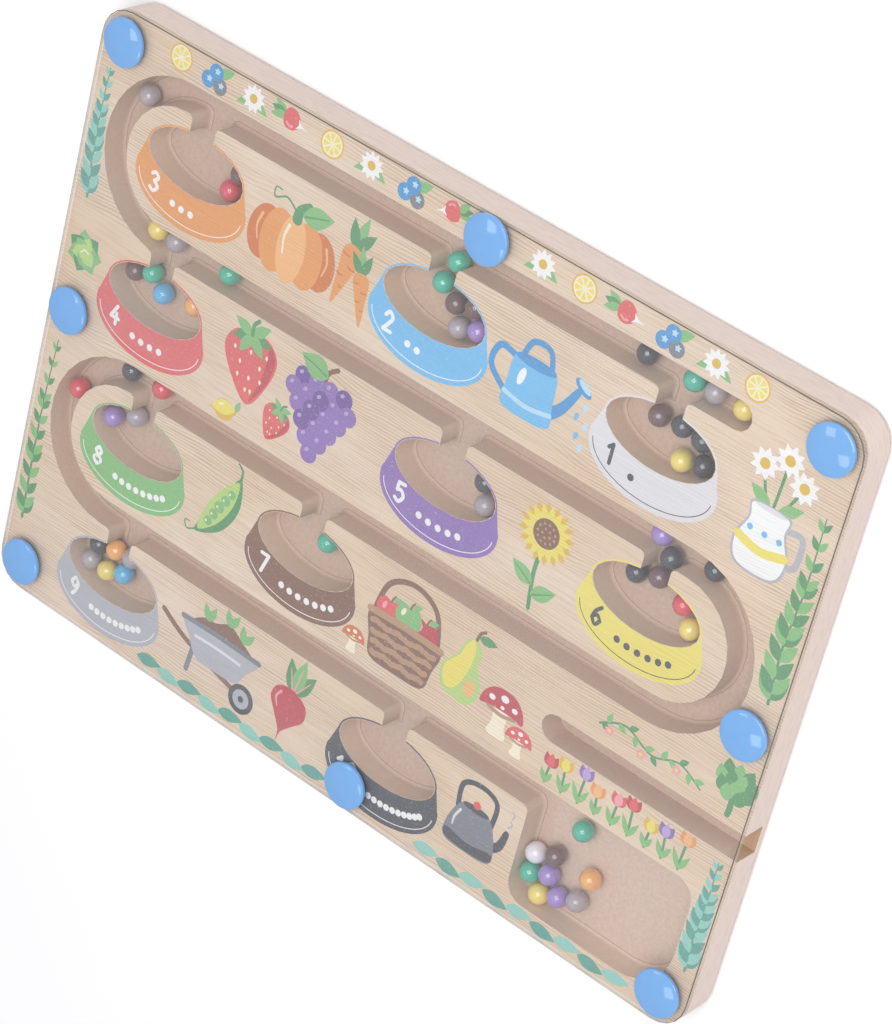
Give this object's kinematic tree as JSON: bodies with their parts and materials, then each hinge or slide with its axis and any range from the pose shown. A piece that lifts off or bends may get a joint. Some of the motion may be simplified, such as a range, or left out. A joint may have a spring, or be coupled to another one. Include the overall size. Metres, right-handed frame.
{
  "type": "magnetic maze board",
  "caption": "Flat wooden bead maze: a winding routed track with oval sorting bowls, a tray and a pen slot, loose coloured steel beads, and a clear cover held on by blue studs.",
  "frame": {"origin": "middle of the board's flat back, where the board lies on a table", "axes": "+X along the long side to the right of the printed face, +Y to its top edge, +Z out of the face"},
  "size_m": [0.3, 0.218, 0.0176],
  "materials": {
    "wood": "sanded pale board, printed on its face",
    "clear_acrylic": "clear, polished",
    "stud_blue": "glossy moulded",
    "bead_white": "glossy paint",
    "bead_blue": "glossy paint",
    "bead_orange": "glossy paint",
    "bead_red": "glossy paint",
    "bead_purple": "glossy paint",
    "bead_yellow": "glossy paint",
    "bead_brown": "glossy paint",
    "bead_green": "glossy paint",
    "bead_gray": "glossy paint",
    "bead_black": "glossy paint"
  },
  "bodies": {
    "board": {"maze_board": "wood", "clear_cover": "clear_acrylic", "stud_top_left": "stud_blue", "stud_top_middle": "stud_blue", "stud_top_right": "stud_blue", "stud_middle_left": "stud_blue", "stud_middle_right": "stud_blue", "stud_bottom_left": "stud_blue", "stud_bottom_middle": "stud_blue", "stud_bottom_right": "stud_blue"},
    "bead_white_1": {"bead_white_1": "bead_white"},
    "bead_blue_1": {"bead_blue_1": "bead_blue"},
    "bead_blue_2": {"bead_blue_2": "bead_blue"},
    "bead_orange_1": {"bead_orange_1": "bead_orange"},
    "bead_orange_2": {"bead_orange_2": "bead_orange"},
    "bead_red_1": {"bead_red_1": "bead_red"},
    "bead_red_2": {"bead_red_2": "bead_red"},
    "bead_red_3": {"bead_red_3": "bead_red"},
    "bead_red_4": {"bead_red_4": "bead_red"},
    "bead_purple_1": {"bead_purple_1": "bead_purple"},
    "bead_purple_2": {"bead_purple_2": "bead_purple"},
    "bead_purple_3": {"bead_purple_3": "bead_purple"},
    "bead_purple_4": {"bead_purple_4": "bead_purple"},
    "bead_purple_5": {"bead_purple_5": "bead_purple"},
    "bead_yellow_1": {"bead_yellow_1": "bead_yellow"},
    "bead_yellow_2": {"bead_yellow_2": "bead_yellow"},
    "bead_yellow_3": {"bead_yellow_3": "bead_yellow"},
    "bead_yellow_4": {"bead_yellow_4": "bead_yellow"},
    "bead_yellow_5": {"bead_yellow_5": "bead_yellow"},
    "bead_yellow_6": {"bead_yellow_6": "bead_yellow"},
    "bead_brown_1": {"bead_brown_1": "bead_brown"},
    "bead_brown_2": {"bead_brown_2": "bead_brown"},
    "bead_brown_3": {"bead_brown_3": "bead_brown"},
    "bead_brown_4": {"bead_brown_4": "bead_brown"},
    "bead_brown_5": {"bead_brown_5": "bead_brown"},
    "bead_green_1": {"bead_green_1": "bead_green"},
    "bead_green_2": {"bead_green_2": "bead_green"},
    "bead_green_3": {"bead_green_3": "bead_green"},
    "bead_green_4": {"bead_green_4": "bead_green"},
    "bead_green_5": {"bead_green_5": "bead_green"},
    "bead_green_6": {"bead_green_6": "bead_green"},
    "bead_green_7": {"bead_green_7": "bead_green"},
    "bead_green_8": {"bead_green_8": "bead_green"},
    "bead_gray_1": {"bead_gray_1": "bead_gray"},
    "bead_gray_2": {"bead_gray_2": "bead_gray"},
    "bead_gray_3": {"bead_gray_3": "bead_gray"},
    "bead_gray_4": {"bead_gray_4": "bead_gray"},
    "bead_gray_5": {"bead_gray_5": "bead_gray"},
    "bead_gray_6": {"bead_gray_6": "bead_gray"},
    "bead_gray_7": {"bead_gray_7": "bead_gray"},
    "bead_gray_8": {"bead_gray_8": "bead_gray"},
    "bead_black_1": {"bead_black_1": "bead_black"},
    "bead_black_2": {"bead_black_2": "bead_black"},
    "bead_black_3": {"bead_black_3": "bead_black"},
    "bead_black_4": {"bead_black_4": "bead_black"},
    "bead_black_5": {"bead_black_5": "bead_black"},
    "bead_black_6": {"bead_black_6": "bead_black"},
    "bead_black_7": {"bead_black_7": "bead_black"},
    "bead_black_8": {"bead_black_8": "bead_black"},
    "bead_black_9": {"bead_black_9": "bead_black"}
  },
  "joints": [
    {"name": "gray_1_turn", "type": "hinge", "parent": "board", "child": "bead_gray_1", "pos_m": [-0.11155, 0.06525, 0.0078], "axis": [0, 0, 1], "range_deg": [-51, 100]},
    {"name": "yellow_3_turn", "type": "hinge", "parent": "board", "child": "bead_yellow_3", "pos_m": [-0.11155, 0.06525, 0.0078], "axis": [0, 0, 1], "range_deg": [-100, 1.5]},
    {"name": "black_7_turn", "type": "hinge", "parent": "board", "child": "bead_black_7", "pos_m": [0.10605, 0.01395, 0.0078], "axis": [0, 0, 1], "range_deg": [-165, 13]},
    {"name": "black_8_turn", "type": "hinge", "parent": "board", "child": "bead_black_8", "pos_m": [-0.11155, -0.03735, 0.0078], "axis": [0, 0, -1], "range_deg": [-46, 9]},
    {"name": "red_3_turn", "type": "hinge", "parent": "board", "child": "bead_red_3", "pos_m": [-0.11155, -0.03735, 0.0078], "axis": [0, 0, -1], "range_deg": [-108, 46]},
    {"name": "black_1_run", "type": "slide", "parent": "board", "child": "bead_black_1", "axis": [1, 0, 0], "range_m": [-0.066, 0.0098]},
    {"name": "green_3_run", "type": "slide", "parent": "board", "child": "bead_green_3", "axis": [1, 0, 0], "range_m": [-0.0098, 0.0003]},
    {"name": "gray_3_run", "type": "slide", "parent": "board", "child": "bead_gray_3", "axis": [1, 0, 0], "range_m": [-0.0003, 0.003]},
    {"name": "yellow_1_run", "type": "slide", "parent": "board", "child": "bead_yellow_1", "axis": [1, 0, 0], "range_m": [-0.003, 0.0022]},
    {"name": "gray_4_run", "type": "slide", "parent": "board", "child": "bead_gray_4", "axis": [1, 0, 0], "range_m": [-0.0008, 0.0158]},
    {"name": "green_4_run", "type": "slide", "parent": "board", "child": "bead_green_4", "axis": [1, 0, 0], "range_m": [-0.0158, 0.1688]},
    {"name": "purple_2_run", "type": "slide", "parent": "board", "child": "bead_purple_2", "axis": [1, 0, 0], "range_m": [-0.1688, 0]},
    {"name": "red_4_run", "type": "slide", "parent": "board", "child": "bead_red_4", "axis": [1, 0, 0], "range_m": [-0.006, 0.207]},
    {"name": "green_1_neck", "type": "slide", "parent": "board", "child": "bead_green_1", "axis": [0, 1, 0], "range_m": [-0.0003, 0.0063]},
    {"name": "red_1_roll", "type": "slide", "parent": "board", "child": "bead_red_1", "axis": [-0.9659, 0.2588, 0], "range_m": [0, 0.0265]},
    {"name": "green_2_roll", "type": "slide", "parent": "board", "child": "bead_green_2", "axis": [-0.866, -0.5, 0], "range_m": [0, 0.0155]},
    {"name": "gray_2_roll", "type": "slide", "parent": "board", "child": "bead_gray_2", "axis": [-0.9659, -0.2588, 0], "range_m": [0, 0.0058]},
    {"name": "brown_2_roll", "type": "slide", "parent": "board", "child": "bead_brown_2", "axis": [0.9659, 0.2588, 0], "range_m": [-0.011, 0.001]},
    {"name": "yellow_2_roll", "type": "slide", "parent": "board", "child": "bead_yellow_2", "axis": [1, 0, 0], "range_m": [-0.0146, 0]},
    {"name": "black_3_roll", "type": "slide", "parent": "board", "child": "bead_black_3", "axis": [0.866, 0.5, 0], "range_m": [0, 0.0021]},
    {"name": "brown_3_roll", "type": "slide", "parent": "board", "child": "bead_brown_3", "axis": [0.2588, -0.9659, 0], "range_m": [0, 0.0072]},
    {"name": "blue_1_roll", "type": "slide", "parent": "board", "child": "bead_blue_1", "axis": [0.7071, 0.7071, 0], "range_m": [-0.0088, 0.0076]},
    {"name": "black_4_roll", "type": "slide", "parent": "board", "child": "bead_black_4", "axis": [0.9659, 0.2588, 0], "range_m": [-0.026, 0.0008]},
    {"name": "gray_5_roll", "type": "slide", "parent": "board", "child": "bead_gray_5", "axis": [0.9659, 0.2588, 0], "range_m": [-0.0116, 0.0004]},
    {"name": "brown_4_roll", "type": "slide", "parent": "board", "child": "bead_brown_4", "axis": [0, 1, 0], "range_m": [-0.0136, 0.0006]},
    {"name": "black_6_roll", "type": "slide", "parent": "board", "child": "bead_black_6", "axis": [0.7071, -0.7071, 0], "range_m": [-0.0004, 0.0156]},
    {"name": "red_2_roll", "type": "slide", "parent": "board", "child": "bead_red_2", "axis": [-0.866, -0.5, 0], "range_m": [-0.0017, 0.0186]},
    {"name": "yellow_4_roll", "type": "slide", "parent": "board", "child": "bead_yellow_4", "axis": [0.866, 0.5, 0], "range_m": [-0.0045, 0.0018]},
    {"name": "purple_3_roll", "type": "slide", "parent": "board", "child": "bead_purple_3", "axis": [-0.866, 0.5, 0], "range_m": [-0.0128, 0.0005]},
    {"name": "gray_6_roll", "type": "slide", "parent": "board", "child": "bead_gray_6", "axis": [-0.9659, 0.2588, 0], "range_m": [-0.023, 0.001]},
    {"name": "green_6_roll", "type": "slide", "parent": "board", "child": "bead_green_6", "axis": [1, 0, 0], "range_m": [-0.0158, 0.0074]},
    {"name": "yellow_5_roll", "type": "slide", "parent": "board", "child": "bead_yellow_5", "axis": [0, 1, 0], "range_m": [-0.0024, 0.0009]},
    {"name": "blue_2_roll", "type": "slide", "parent": "board", "child": "bead_blue_2", "axis": [0.9659, -0.2588, 0], "range_m": [0, 0.012]},
    {"name": "green_7_roll", "type": "slide", "parent": "board", "child": "bead_green_7", "axis": [1, 0, 0], "range_m": [-0.0146, 0.0414]},
    {"name": "brown_5_roll", "type": "slide", "parent": "board", "child": "bead_brown_5", "axis": [-0.2588, 0.9659, 0], "range_m": [0, 0.0205]},
    {"name": "orange_2_roll", "type": "slide", "parent": "board", "child": "bead_orange_2", "axis": [1, 0, 0], "range_m": [-0.0066, 0.034]},
    {"name": "gray_8_roll", "type": "slide", "parent": "board", "child": "bead_gray_8", "axis": [1, 0, 0], "range_m": [0, 0.0336]},
    {"name": "brown_1_lift", "type": "slide", "parent": "board", "child": "bead_brown_1", "axis": [0, 0, 1], "range_m": [0, 0.0016]},
    {"name": "purple_1_lift", "type": "slide", "parent": "board", "child": "bead_purple_1", "axis": [0, 0, 1], "range_m": [0, 0.0016]},
    {"name": "black_2_lift", "type": "slide", "parent": "board", "child": "bead_black_2", "axis": [0, 0, 1], "range_m": [0, 0.0016]},
    {"name": "green_5_lift", "type": "slide", "parent": "board", "child": "bead_green_5", "axis": [0, 0, 1], "range_m": [0, 0.0016]},
    {"name": "black_5_lift", "type": "slide", "parent": "board", "child": "bead_black_5", "axis": [0, 0, 1], "range_m": [0, 0.0016]},
    {"name": "black_9_lift", "type": "slide", "parent": "board", "child": "bead_black_9", "axis": [0, 0, 1], "range_m": [0, 0.0016]},
    {"name": "gray_7_lift", "type": "slide", "parent": "board", "child": "bead_gray_7", "axis": [0, 0, 1], "range_m": [0, 0.0016]},
    {"name": "orange_1_lift", "type": "slide", "parent": "board", "child": "bead_orange_1", "axis": [0, 0, 1], "range_m": [0, 0.0016]},
    {"name": "white_1_lift", "type": "slide", "parent": "board", "child": "bead_white_1", "axis": [0, 0, 1], "range_m": [0, 0.0016]},
    {"name": "green_8_lift", "type": "slide", "parent": "board", "child": "bead_green_8", "axis": [0, 0, 1], "range_m": [0, 0.0016]},
    {"name": "purple_4_lift", "type": "slide", "parent": "board", "child": "bead_purple_4", "axis": [0, 0, 1], "range_m": [0, 0.0016]},
    {"name": "yellow_6_lift", "type": "slide", "parent": "board", "child": "bead_yellow_6", "axis": [0, 0, 1], "range_m": [0, 0.0016]},
    {"name": "purple_5_lift", "type": "slide", "parent": "board", "child": "bead_purple_5", "axis": [0, 0, 1], "range_m": [0, 0.0016]}
  ]
}
